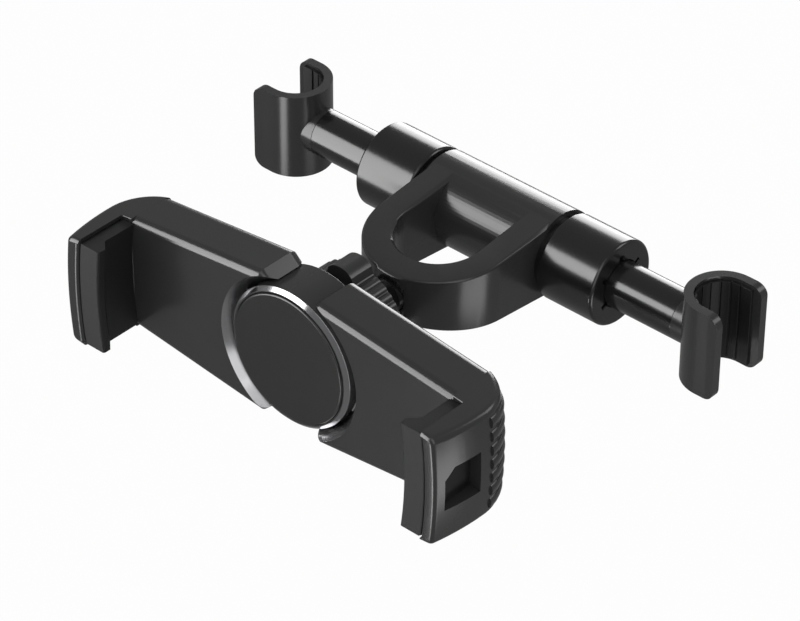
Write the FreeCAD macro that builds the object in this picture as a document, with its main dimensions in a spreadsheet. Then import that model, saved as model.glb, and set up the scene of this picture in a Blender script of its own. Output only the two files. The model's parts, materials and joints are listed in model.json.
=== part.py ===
"""Headrest tablet mount.

A telescopic bar with two spring-loaded rods stands between the two posts of a car headrest.
Open hooks at the rod ends press outward on the posts. A forked yoke turns on the middle of
the bar and carries a ball stud. A lobed lock nut holds the ball in the socket of a cradle
hub, and two cradle halves slide out of the hub on racks that one pinion keeps together.

Millimetres. The origin is the middle of the bar, half way between the hooks.
+X runs along the bar, -Y points forward to the tablet, +Z is up.
"""
import FreeCAD, Part
import math
import os
import re
import Sketcher

SIZES = {
    # Bar: centre tube, collars, guide bushes, rods and their springs
    "hook_spacing": 146.5,
    "tube_radius": 10.4,
    "tube_wall": 1.8,
    "collar_radius": 12,
    "collar_gap": 1.8,
    "collar_length": 18.3,
    "collar_end_wall": 2.5,
    "collar_rim": 0.6,
    "notch_count": 6,
    "notch_reach": 8.3,
    "notch_width": 1.2,
    "rod_radius": 6.5,
    "rod_travel": 18,
    "bush_length": 8,
    "stop_flange": 2.5,
    "stop_spigot_radius": 3,
    "stop_spigot_length": 9,
    "centre_stop_width": 3,
    "spring_wire": 1.1,
    "spring_turns": 5,
    # Hooks and liners
    "hook_bore": 7.6,
    "hook_wall": 2.5,
    "hook_height": 25.4,
    "hook_arm": 5.9,
    "hook_flare": 0.2,
    "hook_flare_length": 2.4,
    "hook_corner": 3.2,
    "hook_neck": 1.3,
    "liner_bore": 6.7,
    "liner_recess": 1,
    "liner_groove_width": 0.5,
    "liner_groove_depth": 0.4,
    "liner_groove_count": 9,
    # Yoke
    "yoke_half_width": 20.5,
    "yoke_arm": 8.1,
    "yoke_front_centre": 23.25,
    "yoke_half_height": 11.8,
    "yoke_taper": 5.96,
    "yoke_chamfer": 0.8,
    # Ball stud, cups and lock nut
    "ball_radius": 8,
    "ball_ahead": 13.75,
    "neck_radius": 3.6,
    "stud_base_radius": 5,
    "stud_base_inset": 1.55,
    "stud_base_length": 2.4,
    "stud_bore_depth": 10,
    "cup_wall": 0.45,
    "cup_hole_angle": 14,
    "cup_rim_angle": 71,
    "socket_wall": 2.35,
    "socket_mouth": 1,
    "nut_radius": 14.8,
    "nut_ahead": 3.9,
    "nut_behind": 3.5,
    "nut_rib_count": 48,
    "nut_groove_depth": 0.6,
    "nut_groove_width": 0.55,
    "lobe_count": 4,
    "lobe_height": 18.1,
    "lobe_shoulder": 16.4,
    "lobe_half_width": 3.9,
    "lobe_foot_width": 4.7,
    "lobe_foot_height": 13.7,
    "lobe_crest_radius": 5,
    "nut_edge": 0.5,
    # Hub
    "face_ahead": 23,
    "hub_radius": 19.9,
    "hub_wall": 2,
    "socket_end_wall": 1.45,
    "hub_chamfer": 0.9,
    "disc_gap": 0.2,
    "disc_proud": 0.2,
    "disc_edge": 0.3,
    "ring_width": 1.4,
    "ring_setback": 0.2,
    "ring_depth": 1,
    # Cradle halves
    "cradle_depth": 14.9,
    "cradle_shoulder": 2.6,
    "cradle_slope": 0.107,
    "cradle_start": 9.9,
    "cradle_foot": 6.9,
    "hub_gap": 0.3,
    "moat_width": 2.8,
    "moat_depth": 4.2,
    "front_round": 2.3,
    "rear_round": 3.6,
    "shell_wall": 2,
    "shell_rim": 4.6,
    "hollow_setback": 4,
    "shell_end_wall": 3.3,
    "clamp_travel": 40,
    # Jaws and pads
    "jaw_length": 10.5,
    "jaw_corner": 13.4,
    "jaw_front": 15.5,
    "jaw_lean": 2.1,
    "jaw_bow_radius": 126,
    "jaw_curve_radius": 67,
    "jaw_round": 2,
    "jaw_rim_round": 1.3,
    "jaw_step_round": 0.4,
    "jaw_wall": 5.9,
    "pad_thickness": 4.3,
    "pad_lip_proud": 2.6,
    "pad_front": 14.9,
    "pad_lip_back": 12.6,
    "pad_slope_back": 10.1,
    "pad_half_height": 15.7,
    "window_height": 12,
    "window_front": 12.6,
    "window_back": 1.2,
    "window_round": 1.5,
    "pad_tab_depth": 2.2,
    "grip_count": 7,
    "grip_pitch": 4.1,
    "grip_width": 3,
    "grip_proud": 0.4,
    # Racks and pinion
    "gear_module": 1,
    "pinion_teeth": 10,
    "pressure_angle": 25,
    "gear_backlash": 0.2,
    "gear_setback": 4.5,
    "gear_width": 3,
    "rack_bar": 3.5,
    "rack_overlap": 8,
    "rack_tip_gap": 3,
    "rack_end_gap": 1.8,
    "pinion_post_radius": 2,
    # Fasteners
    "screw_radius": 1.5,
    "screw_head_radius": 2.6,
    "screw_head_height": 1.6,
    "screw_seat": 1.2,
    "boss_radius": 2.3,
    "cover_screw_gap": 2.8,
    "rack_screw_inset": 3.2,
    "hook_screw_length": 13,
    "stud_screw_length": 12,
    "stud_screw_seat": 3.5,
    "cover_screw_length": 7,
    "jaw_screw_length": 6,
    "rack_screw_grip": 1.8,
    "jaw_screw_height": 9.5,
    # Clearances
    "running_clearance": 0.05,
    "seat_clearance": 0.02,
    "pad_clearance": 0.12,
    "slide_clearance": 0.2,
}

# Sizes that follow from the ones above; they stand in the sheet too, as formulas
FOLLOWING = {
    "collar_start": "yoke_half_width + collar_gap",
    "yoke_tip": "yoke_front_centre + yoke_half_width",
    "stud_base_seat": "yoke_tip - stud_base_inset",
    "ball_reach": "yoke_tip + ball_ahead",
    "nut_front": "ball_reach + nut_ahead",
    "nut_rear": "ball_reach - nut_behind",
    "face_reach": "ball_reach + face_ahead",
    "ring_inner_radius": "hub_radius - ring_width",
    "disc_radius": "ring_inner_radius - disc_gap",
    "cradle_gap_radius": "hub_radius + hub_gap",
    "cradle_half_height": "cradle_gap_radius + cradle_shoulder",
    "moat_radius": "cradle_gap_radius + moat_width",
    "hollow_start": "cradle_gap_radius - hollow_setback",
    "cover_screw_place": "cradle_gap_radius + shell_wall + cover_screw_gap",
    "tooth_root": "gear_module * pinion_teeth / 2 + 1.05 * gear_module",
    "cover_screw_height": "tooth_root + rack_bar + slide_clearance + boss_radius + running_clearance",
    "gear_front": "face_reach - gear_setback",
    "rack_tip": "clamp_travel + rack_overlap",
    "hollow_end": "rack_tip + rack_tip_gap",
    "rack_root": "hollow_end - rack_end_gap",
    "rack_screw_place": "rack_root - rack_screw_inset",
    "jaw_seam": "hollow_end + shell_end_wall",
    "jaw_outer": "jaw_seam + jaw_length",
    "jaw_tip": "jaw_outer - jaw_lean",
    "pad_back": "jaw_outer - jaw_wall",
    "pad_face": "pad_back - pad_thickness",
    "pad_lip": "pad_face - pad_lip_proud",
}
NAMES = {**SIZES, **FOLLOWING}

# Places worked out from the driving sizes
TUBE_BORE = "(tube_radius - tube_wall)"
COLLAR_END = "(collar_start + collar_length)"
TUBE_END = f"({COLLAR_END} - collar_end_wall)"
ROD_START = f"({TUBE_END} - bush_length - running_clearance)"
STOP_START = f"({ROD_START} - stop_flange)"
HOOK_AXIS = "(hook_spacing / 2)"
HOOK_OUTER = "(hook_bore + hook_wall)"
ROD_END = f"({HOOK_AXIS} - {HOOK_OUTER} - hook_neck)"
HOLE_RADIUS = "(screw_radius + running_clearance)"
LINER_OUTER = "(hook_bore - seat_clearance)"
YOKE_BORE = "(tube_radius + running_clearance)"
YOKE_INNER = "(yoke_half_width - yoke_arm)"
YOKE_TIP = "yoke_tip"
LINER_CUP_INNER = "(ball_radius + running_clearance)"
LINER_CUP_OUTER = f"({LINER_CUP_INNER} + cup_wall)"
SEAT_CUP_INNER = f"({LINER_CUP_OUTER} + running_clearance)"
SEAT_CUP_OUTER = f"({SEAT_CUP_INNER} + cup_wall)"
SOCKET_INNER = f"({SEAT_CUP_OUTER} + running_clearance)"
SOCKET_OUTER = f"({SOCKET_INNER} + socket_wall)"
HUB_REAR = f"(ball_reach + {SOCKET_INNER} + socket_end_wall - hub_wall)"
HUB_INNER = "(hub_radius - hub_wall)"
RING_FRONT = "(face_reach - ring_setback)"
RING_BACK = f"({RING_FRONT} - ring_depth)"
CRADLE_REAR = "(face_reach - cradle_depth)"
SHELL_FLOOR = "(face_reach - shell_wall)"
COVER_FRONT = f"({CRADLE_REAR} + shell_wall)"
ARC_WALL_RADIUS = "(cradle_gap_radius + shell_wall)"
GEAR_BACK = "(gear_front - gear_width)"
PITCH_RADIUS = "(gear_module * pinion_teeth / 2)"
TOOTH_TIP = f"({PITCH_RADIUS} - 0.8 * gear_module)"
TOOTH_ROOT = "tooth_root"
RACK_TOP = f"({TOOTH_ROOT} + rack_bar)"
RACK_MIDDLE = f"({TOOTH_ROOT} + rack_bar / 2)"
BOW_AXIS = "(jaw_outer - jaw_bow_radius)"
TOOTH_PITCH = "(gear_module * pi)"
JAW_SCREW_DEPTH = f"(-{COVER_FRONT} - screw_head_radius - 0.2)"

doc = FreeCAD.newDocument("headrest_tablet_mount")
sheet = doc.addObject("Spreadsheet::Sheet", "Sizes")


def fill_sheet():
    """Write each size into the sheet under its own alias: a number, or a formula."""
    for row, (alias, value) in enumerate(NAMES.items(), start=1):
        sheet.set(f"A{row}", alias.replace("_", " "))
        sheet.setAlias(f"B{row}", alias)
        sheet.set(f"B{row}", f"={value}" if alias in FOLLOWING else str(value))
    doc.recompute()


def bound(text):
    """Turn a formula in size names into one that reads the sheet."""
    return re.sub(r"[a-z_]{2,}", lambda word: f"Sizes.{word[0]}" if word[0] in NAMES else word[0], str(text))


def number(text):
    return float(sheet.evalExpression(bound(text)))


def new_body(label):
    body = doc.addObject("PartDesign::Body", label)
    body.Label = label
    return body


def new_sketch(body, plane, name, offset="0"):
    """A sketch on one of the body's own origin planes, moved along the plane's normal."""
    sketch = body.newObject("Sketcher::SketchObject", f"{body.Name}_{name}")
    support = [part for part in body.Origin.OriginFeatures if part.Role == f"{plane}_Plane"][0]
    sketch.AttachmentSupport = [(support, "")]
    sketch.MapMode = "FlatFace"
    if offset != "0":
        sketch.setExpression("AttachmentOffset.Base.z", bound(offset))
    return sketch


def pin_point(sketch, geometry, end, x, y):
    """Hold one sketch point at two formulas measured from the sketch's origin."""
    for kind, axis, formula in (("DistanceX", -2, x), ("DistanceY", -1, y)):
        if str(formula) == "0":
            sketch.addConstraint(Sketcher.Constraint("PointOnObject", geometry, end, axis))
            continue
        index = sketch.addConstraint(Sketcher.Constraint(kind, -1, 1, geometry, end, number(formula)))
        name = f"{kind}_{geometry}_{end}"
        sketch.renameConstraint(index, name)
        sketch.setExpression(f"Constraints.{name}", bound(formula))


def pin_radius(sketch, geometry, formula):
    index = sketch.addConstraint(Sketcher.Constraint("Radius", geometry, number(formula)))
    sketch.renameConstraint(index, f"Radius_{geometry}")
    sketch.setExpression(f"Constraints.Radius_{geometry}", bound(formula))


def arc_between(start, end, radius):
    """The short arc from start to end: a positive radius turns left and a negative one right."""
    chord = end - start
    rise = math.sqrt(max(radius**2 - (chord.Length / 2) ** 2, 0))
    normal = FreeCAD.Vector(-chord.y, chord.x, 0).normalize() * math.copysign(rise, radius)
    centre = (start + end) * 0.5 + normal
    first, last = (start, end) if radius > 0 else (end, start)
    angles = [math.atan2(spot.y - centre.y, spot.x - centre.x) for spot in (first, last)]
    circle = Part.Circle(centre, FreeCAD.Vector(0, 0, 1), abs(radius))
    return Part.ArcOfCircle(circle, angles[0], angles[1])


def outline(sketch, *points):
    """Draw a closed outline of points (x, y), or (x, y, radius) where an arc leads to the point."""
    spots = [FreeCAD.Vector(number(point[0]), number(point[1]), 0) for point in points]
    edges = []
    for index, point in enumerate(points):
        start, end = spots[index - 1], spots[index]
        if len(point) == 2:
            edges.append((sketch.addGeometry(Part.LineSegment(start, end), False), 1, 2))
        else:
            radius = number(point[2])
            geometry = sketch.addGeometry(arc_between(start, end, radius), False)
            edges.append((geometry, 1, 2) if radius > 0 else (geometry, 2, 1))
    for index, (geometry, start, end) in enumerate(edges):
        before, _, before_end = edges[index - 1]
        sketch.addConstraint(Sketcher.Constraint("Coincident", before, before_end, geometry, start))
        pin_point(sketch, geometry, end, points[index][0], points[index][1])
        if len(points[index]) == 3:
            pin_radius(sketch, geometry, points[index][2].lstrip("-"))
    return sketch


def circle(sketch, x, y, radius):
    centre = FreeCAD.Vector(number(x), number(y), 0)
    geometry = sketch.addGeometry(Part.Circle(centre, FreeCAD.Vector(0, 0, 1), number(radius)), False)
    pin_point(sketch, geometry, 3, x, y)
    pin_radius(sketch, geometry, radius)
    return sketch


def feature(body, kind, sketch, suffix, **formulas):
    item = body.newObject(f"PartDesign::{kind}", f"{sketch.Name}_{suffix}")
    item.Profile = sketch
    for name, formula in formulas.items():
        item.setExpression(name, bound(formula))
    return item


def pad(body, sketch, length, both=False, reverse=False):
    item = feature(body, "Pad", sketch, "pad", Length=length)
    item.SideType = "Symmetric" if both else "One side"
    item.Reversed = reverse
    return item


def pocket(body, sketch, length, both=False, reverse=False):
    item = feature(body, "Pocket", sketch, "pocket", Length=length)
    item.SideType = "Symmetric" if both else "One side"
    item.Reversed = reverse
    return item


def revolve(body, sketch, axis, kind="Revolution", angle="360"):
    """Turn a profile about the sketch's own axis, half to each side of its plane."""
    item = feature(body, kind, sketch, "turn", Angle=angle)
    item.ReferenceAxis = (sketch, [axis])
    item.Midplane = True
    return item


def turned(label, axis, *points):
    """A body of revolution: points are (along, radius) for X and (radius, along) for Y."""
    body = new_body(label)
    sketch = outline(new_sketch(body, "XY", "profile"), *points)
    revolve(body, sketch, {"X": "H_Axis", "Y": "V_Axis"}[axis])
    return body


def ring(label, axis, inner, outer, start, end):
    """A plain turned ring, from start to end along the axis."""
    if axis == "X":
        return turned(label, axis, (start, inner), (start, outer), (end, outer), (end, inner))
    return turned(label, axis, (inner, start), (inner, end), (outer, end), (outer, start))


def polar(body, original, plane_axis, count, angle="360", reverse=False):
    pattern = body.newObject("PartDesign::PolarPattern", f"{original.Name}_round")
    pattern.Originals = [original]
    axis = [part for part in body.Origin.OriginFeatures if part.Role == f"{plane_axis}_Axis"][0]
    pattern.Axis = (axis, [""])
    pattern.setExpression("Angle", bound(angle))
    pattern.setExpression("Occurrences", bound(count))
    pattern.Reversed = reverse
    body.Tip = pattern
    return pattern


def edges_where(item, test):
    """Names of the item's edges whose box passes the test."""
    doc.recompute()
    return [f"Edge{index}" for index, edge in enumerate(item.Shape.Edges, 1) if test(edge.BoundBox)]


def blend_edges(body, item, kind, size, test, name):
    """Fillet or chamfer the edges that pass the test."""
    names = edges_where(item, test)
    if not names:
        raise ValueError(f"{body.Label} {name} finds no edge")
    blend = body.newObject(f"PartDesign::{kind}", f"{body.Name}_{name}")
    blend.Base = (item, names)
    blend.setExpression("Radius" if kind == "Fillet" else "Size", bound(size))
    return blend


def near(value, target, within=0.01):
    return abs(value - target) < within


def mirror_of(label, source, *normals):
    """The source seen in the YZ plane (X) or also in the XY plane (Z), with its own label."""
    for step, axis in enumerate(normals, 1):
        last = step == len(normals)
        item = doc.addObject("Part::Mirroring", label if last else f"{label}_step_{step}")
        item.Source = source
        item.Normal = FreeCAD.Vector(axis == "X", axis == "Y", axis == "Z")
        source = item
    source.Label = label
    return source


def screw(label, axis, head_end, length, head_first=1):
    """A countersunk screw on an axis through the origin; the head's face is at head_end."""
    cone_end = f"({head_end} + {head_first} * screw_head_height)"
    tip = f"({head_end} + {head_first} * {length})"
    profile = [("0", head_end), ("screw_head_radius", head_end), ("screw_radius", cone_end)]
    profile += [("screw_radius", tip), ("0", tip)]
    if axis == "X":
        profile = [(along, radius) for radius, along in profile]
    return turned(label, axis, *profile)


# Bar


def make_centre_tube():
    body = new_body("centre_tube")
    sketch = new_sketch(body, "YZ", "wall")
    circle(sketch, "0", "0", "tube_radius")
    circle(sketch, "0", "0", TUBE_BORE)
    pad(body, sketch, f"2 * {TUBE_END}", both=True)
    return body


def make_centre_stop():
    radius = f"({TUBE_BORE} - seat_clearance)"
    return turned(
        "centre_stop", "X",
        ("-centre_stop_width / 2", "0"), ("-centre_stop_width / 2", radius),
        ("centre_stop_width / 2", radius), ("centre_stop_width / 2", "0"),
    )


def make_collar():
    """The smooth sleeve on each end of the centre tube, with a notched hole for the rod."""
    bore = "(tube_radius + seat_clearance)"
    hole = "(rod_radius + 0.15)"
    body = turned(
        "right_collar", "X",
        ("collar_start", bore), ("collar_start", "collar_radius - collar_rim"),
        ("collar_start + collar_rim", "collar_radius"),
        (f"{COLLAR_END} - collar_rim", "collar_radius"),
        (COLLAR_END, "collar_radius - collar_rim"), (COLLAR_END, hole),
        (TUBE_END, hole), (TUBE_END, bore),
    )
    notch = new_sketch(body, "YZ", "notch", COLLAR_END)
    outline(
        notch,
        ("-notch_width / 2", "rod_radius - 1"), ("notch_width / 2", "rod_radius - 1"),
        ("notch_width / 2", "notch_reach"), ("-notch_width / 2", "notch_reach"),
    )
    cut = pocket(body, notch, "collar_end_wall")
    polar(body, cut, "X", "notch_count")
    return body


def make_guide_bush():
    return ring(
        "right_guide_bush", "X", "(rod_radius + running_clearance)",
        f"({TUBE_BORE} - seat_clearance)", f"{TUBE_END} - bush_length", TUBE_END,
    )


def make_rod():
    """A straight bar with a blind hole in each end: one for its stop, one for the hook screw."""
    pilot_depth = f"{ROD_END} - 11"
    spigot_hole = "stop_spigot_radius + seat_clearance"
    spigot_end = f"{ROD_START} + stop_spigot_length + 0.5"
    return turned(
        "right_rod", "X",
        (ROD_START, spigot_hole), (ROD_START, "rod_radius"), (ROD_END, "rod_radius"),
        (ROD_END, HOLE_RADIUS), (pilot_depth, HOLE_RADIUS), (pilot_depth, "0"),
        (spigot_end, "0"), (spigot_end, spigot_hole),
    )


def make_rod_stop():
    """The flanged plug in the rod's inner end, which meets the guide bush at full reach."""
    return turned(
        "right_rod_stop", "X",
        (STOP_START, "0"), (STOP_START, f"{TUBE_BORE} - running_clearance"),
        (ROD_START, f"{TUBE_BORE} - running_clearance"), (ROD_START, "stop_spigot_radius"),
        (f"{ROD_START} + stop_spigot_length", "stop_spigot_radius"),
        (f"{ROD_START} + stop_spigot_length", "0"),
    )


def make_rod_spring():
    """A compression spring between the centre stop and the rod's stop."""
    start = "(centre_stop_width / 2 + spring_wire / 2 + seat_clearance)"
    length = f"({STOP_START} - spring_wire / 2 - seat_clearance - {start})"
    mean_radius = f"({TUBE_BORE} - running_clearance - spring_wire)"
    path = doc.addObject("Part::Helix", "spring_path")
    path.setExpression("Pitch", bound(f"{length} / spring_turns"))
    path.setExpression("Height", bound(length))
    path.setExpression("Radius", bound(mean_radius))
    path.SegmentLength = 1  # one face per turn
    wire = doc.addObject("Part::Circle", "spring_section")
    wire.setExpression("Radius", bound("spring_wire / 2"))
    wire.setExpression("Placement.Base.x", bound(mean_radius))
    wire.Placement.Rotation = FreeCAD.Rotation(FreeCAD.Vector(1, 0, 0), 90)
    spring = doc.addObject("Part::Sweep", "right_rod_spring")
    spring.Sections = [wire]
    spring.Spine = (path, [])
    spring.Solid = True
    spring.Frenet = True
    spring.Label = "right_rod_spring"
    spring.Placement.Rotation = FreeCAD.Rotation(FreeCAD.Vector(0, 1, 0), 90)
    spring.setExpression("Placement.Base.x", bound(start))
    return spring


# Hooks


def hook_channel(sketch, radius, flare, arm, overrun):
    """The open channel of a hook: half a circle with two arms towards +X."""
    straight = f"({arm} - hook_flare_length)"
    wide = f"({radius} + {flare})"
    return outline(
        sketch,
        (f"{arm} + {overrun}", f"-{wide}"), (f"{arm} + {overrun}", wide), (arm, wide),
        (straight, radius), ("0", radius),
        (f"-{radius}", "0", radius), ("0", f"-{radius}", radius),
        (straight, f"-{radius}"), (arm, f"-{wide}"),
    )


def make_hook():
    """The C-shaped hook: a tall open channel on a short neck that sits on the rod's end."""
    body = new_body("right_hook")
    body.setExpression("Placement.Base.x", bound(HOOK_AXIS))
    block = new_sketch(body, "XY", "block")
    wide = f"({HOOK_OUTER} + hook_flare)"
    straight = "(hook_arm - hook_flare_length)"
    outline(
        block,
        ("hook_arm", f"-{wide}"), ("hook_arm", wide), (straight, HOOK_OUTER), ("0", HOOK_OUTER),
        (f"-{HOOK_OUTER}", "0", HOOK_OUTER), ("0", f"-{HOOK_OUTER}", HOOK_OUTER),
        (straight, f"-{HOOK_OUTER}"),
    )
    pad(body, block, "hook_height", both=True)
    neck = new_sketch(body, "YZ", "neck", f"-({HOOK_OUTER} + hook_neck)")
    circle(neck, "0", "0", "rod_radius")
    pad(body, neck, f"{HOOK_OUTER} + hook_neck - 3")
    channel = hook_channel(new_sketch(body, "XY", "channel"), "hook_bore", "hook_flare", "hook_arm", "1")
    pocket(body, channel, "2 * hook_height", both=True)
    seat = new_sketch(body, "XY", "screw_seat")
    head, cone = "-hook_bore", "-(hook_bore + screw_head_height)"
    wide_hole = "(screw_head_radius + running_clearance)"
    outline(
        seat,
        ("0", "0"), ("0", wide_hole), (head, wide_hole), (cone, HOLE_RADIUS),
        (f"-({HOOK_OUTER} + hook_neck)", HOLE_RADIUS), (f"-({HOOK_OUTER} + hook_neck)", "0"),
    )
    bored = revolve(body, seat, "H_Axis", "Groove")
    arm, half = number("hook_arm"), number("hook_height") / 2
    blend_edges(
        body, bored, "Fillet", "hook_corner",
        lambda box: near(box.XMin, arm) and near(box.XMax, arm) and near(abs(box.ZMin), half) and near(box.ZLength, 0),
        "corners",
    )
    return body


def make_hook_screw():
    """The countersunk screw that holds the hook on the rod, under the liner."""
    head = f"({HOOK_AXIS} - hook_bore - running_clearance)"
    return screw("right_hook_screw", "X", head, "hook_screw_length", -1)


def make_hook_liner():
    """The soft ribbed lining of the hook, a little lower than the hook's rim."""
    body = new_body("right_hook_liner")
    body.setExpression("Placement.Base.x", bound(HOOK_AXIS))
    arm = "(hook_arm - hook_flare_length)"
    wall = new_sketch(body, "XY", "wall")
    outline(
        wall,
        (arm, f"-{LINER_OUTER}"), (arm, "-liner_bore"), ("0", "-liner_bore"),
        ("-liner_bore", "0", "-liner_bore"), ("0", "liner_bore", "-liner_bore"),
        (arm, "liner_bore"), (arm, LINER_OUTER), ("0", LINER_OUTER),
        (f"-{LINER_OUTER}", "0", LINER_OUTER), ("0", f"-{LINER_OUTER}", LINER_OUTER),
    )
    pad(body, wall, "hook_height - 2 * liner_recess", both=True)
    groove = new_sketch(body, "XY", "groove")
    outline(
        groove,
        ("-liner_groove_width / 2", "liner_bore - 1"), ("liner_groove_width / 2", "liner_bore - 1"),
        ("liner_groove_width / 2", "liner_bore + liner_groove_depth"),
        ("-liner_groove_width / 2", "liner_bore + liner_groove_depth"),
    )
    cut = pocket(body, groove, "hook_height", both=True)
    polar(body, cut, "Z", "liner_groove_count", "180")
    return body


# Yoke


def make_yoke():
    """A barrel that turns on the centre tube, with a forked arm that tapers to the front."""
    body = new_body("yoke")
    fork = new_sketch(body, "XY", "fork")
    outline(
        fork,
        ("-yoke_half_width", "0"), ("-yoke_half_width", "-yoke_front_centre"),
        ("0", f"-{YOKE_TIP}", "yoke_half_width"),
        ("yoke_half_width", "-yoke_front_centre", "yoke_half_width"), ("yoke_half_width", "0"),
        (YOKE_INNER, "0"), (YOKE_INNER, "-yoke_front_centre"),
        ("0", f"-(yoke_front_centre + {YOKE_INNER})", f"-{YOKE_INNER}"),
        (f"-{YOKE_INNER}", "-yoke_front_centre", f"-{YOKE_INNER}"), (f"-{YOKE_INNER}", "0"),
    )
    pad(body, fork, "2 * yoke_half_height", both=True)
    slopes = new_sketch(body, "YZ", "slopes")
    low = f"(yoke_half_height - ({YOKE_TIP} + 2) * tan(yoke_taper))"
    for sign in ("", "-"):
        outline(
            slopes,
            ("0", f"{sign}yoke_half_height"), (f"-({YOKE_TIP} + 2)", f"{sign}{low}"),
            (f"-({YOKE_TIP} + 2)", f"{sign}(yoke_half_height + 1)"), ("0", f"{sign}(yoke_half_height + 1)"),
        )
    wedge = pocket(body, slopes, "2 * yoke_half_width + 2", both=True)
    half = number("yoke_half_height")
    tip = number(YOKE_TIP)
    low_edge = half - tip * math.tan(math.radians(number("yoke_taper")))
    blend_edges(
        body, wedge, "Chamfer", "yoke_chamfer",
        lambda box: min(abs(box.ZMin), abs(box.ZMax)) > low_edge - 0.1 and box.ZLength < half and box.YLength > 1,
        "rims",
    )
    barrel = new_sketch(body, "YZ", "barrel")
    circle(barrel, "0", "0", "collar_radius")
    pad(body, barrel, "2 * yoke_half_width", both=True)
    bore = new_sketch(body, "YZ", "bore")
    circle(bore, "0", "0", YOKE_BORE)
    pocket(body, bore, "2 * yoke_half_width + 2", both=True)
    seat = new_sketch(body, "XY", "stud_seat")
    outline(
        seat,
        ("0", f"-({YOKE_TIP} + 1)"), ("stud_base_radius + seat_clearance", f"-({YOKE_TIP} + 1)"),
        ("stud_base_radius + seat_clearance", "-stud_base_seat"),
        (HOLE_RADIUS, "-stud_base_seat"), (HOLE_RADIUS, "-(stud_base_seat - stud_screw_seat + screw_head_height)"),
        ("screw_head_radius + running_clearance", "-(stud_base_seat - stud_screw_seat)"),
        ("screw_head_radius + running_clearance", "-yoke_front_centre"), ("0", "-yoke_front_centre"),
    )
    revolve(body, seat, "V_Axis", "Groove")
    return body


# Ball joint


def on_ball(radius, angle):
    """A profile point on a sphere about the ball's centre, at an angle from the front pole."""
    return (f"({radius} * sin({angle}))", f"(-ball_reach - {radius} * cos({angle}))")


def make_ball_stud():
    """The ball on its neck, with a base that sits in the yoke's front."""
    base_end = "-(stud_base_seat + stud_base_length)"
    neck_join = "(-ball_reach + sqrt(ball_radius ^ 2 - neck_radius ^ 2))"
    return turned(
        "ball_stud", "Y",
        (HOLE_RADIUS, "-stud_base_seat"), ("stud_base_radius", "-stud_base_seat"),
        ("stud_base_radius", base_end), ("neck_radius", f"{base_end} - 1"),
        ("neck_radius", neck_join),
        ("ball_radius", "-ball_reach", "-ball_radius"),
        ("ball_radius * sin(10)", "-ball_reach - ball_radius * cos(10)", "-ball_radius"),
        ("0", "-ball_reach - ball_radius * cos(10)"),
        ("0", "-stud_base_seat - stud_bore_depth"), (HOLE_RADIUS, "-stud_base_seat - stud_bore_depth"),
    )


def make_stud_screw():
    head = "(-(stud_base_seat - stud_screw_seat) + running_clearance)"
    return screw("stud_screw", "Y", head, "stud_screw_length", -1)


def make_cup(label, inner, outer):
    """A thin spherical cup that lines the front of the socket."""
    return turned(
        label, "Y",
        on_ball(inner, "cup_hole_angle"), (*on_ball(inner, "cup_rim_angle"), inner),
        on_ball(outer, "cup_rim_angle"), (*on_ball(outer, "cup_hole_angle"), f"-{outer}"),
    )


def make_lock_nut():
    """The finely ribbed nut with four grip lobes, closed to a round lip behind the ball."""
    body = new_body("lock_nut")
    blank = new_sketch(body, "XZ", "blank", "nut_rear")
    circle(blank, "0", "0", "nut_radius")
    pad(body, blank, "nut_front - nut_rear")
    groove = new_sketch(body, "XZ", "groove", "nut_rear")
    tilt = "(180 / nut_rib_count)"
    depth = "(nut_radius - nut_groove_depth)"
    half = "(nut_groove_width / 2)"
    top = "(nut_radius + 1)"
    spots = []
    for across, out in ((f"-{half}", top), (f"-{half}", depth), (half, depth), (half, top)):
        x = f"({across} * cos({tilt}) + {out} * sin({tilt}))"
        z = f"({out} * cos({tilt}) - {across} * sin({tilt}))"
        spots.append((x, z))
    outline(groove, *spots)
    cut = pocket(body, groove, "nut_front - nut_rear", reverse=True)
    polar(body, cut, "Y", "nut_rib_count")
    lobe = new_sketch(body, "XZ", "lobe", "nut_rear")
    outline(
        lobe,
        ("-lobe_foot_width", "lobe_foot_height"), ("lobe_foot_width", "lobe_foot_height"),
        ("lobe_half_width", "lobe_shoulder"), ("0", "lobe_height", "lobe_crest_radius"),
        ("-lobe_half_width", "lobe_shoulder", "lobe_crest_radius"),
    )
    grip = pad(body, lobe, "nut_front - nut_rear")
    polar(body, grip, "Y", "lobe_count")
    inside = new_sketch(body, "XY", "inside")
    bore = f"({SOCKET_OUTER} + running_clearance)"
    lip = "(ball_radius + running_clearance)"
    mouth = "(-ball_reach + socket_mouth + 0.2)"
    outline(
        inside,
        ("0", "-(nut_front + 1)"), (bore, "-(nut_front + 1)"), (bore, mouth),
        (f"sqrt({lip} ^ 2 - (socket_mouth + 0.2) ^ 2)", mouth),
        (f"sqrt({lip} ^ 2 - (ball_reach - nut_rear - 0.4) ^ 2)", "-(nut_rear + 0.4)", lip),
        (f"sqrt({lip} ^ 2 - (ball_reach - nut_rear - 0.4) ^ 2) + 0.6", "-(nut_rear - 0.2)"),
        ("0", "-(nut_rear - 0.2)"),
    )
    revolve(body, inside, "V_Axis", "Groove")
    return body


# Hub


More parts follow.
